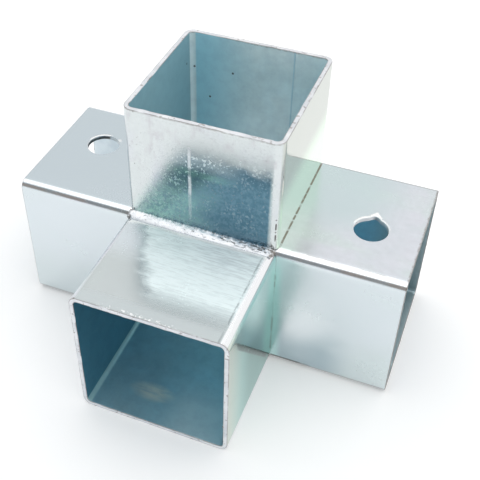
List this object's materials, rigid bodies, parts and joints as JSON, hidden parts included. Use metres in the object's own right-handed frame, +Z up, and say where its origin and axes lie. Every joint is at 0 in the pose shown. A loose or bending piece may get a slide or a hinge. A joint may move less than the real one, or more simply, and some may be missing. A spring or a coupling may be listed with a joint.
{
  "type": "square tube connector",
  "caption": "Welded connector for square tube: a straight run with a stub to the front and one up, and bolt holes in the top of the side arms.",
  "frame": {"origin": "the point where the axes of the three tubes cross, in the middle of the run", "axes": "+X along the run, -Y out of the front stub's mouth, +Z up the upright stub"},
  "size_m": [0.13, 0.0905, 0.09],
  "materials": {
    "plated_tube": "blue-white bright zinc plate on smooth cold-rolled tube, with fine scratches, faint spangle and brushed patches beside the welds",
    "plated_weld": "zinc plate over ground weld metal, brighter than the tube, with pits along its upper edge"
  },
  "bodies": {
    "root": {"run_tube": "plated_tube", "upright_stub": "plated_tube", "front_stub": "plated_tube", "valley_weld": "plated_weld", "rear_weld": "plated_weld", "under_weld": "plated_weld"}
  },
  "joints": []
}
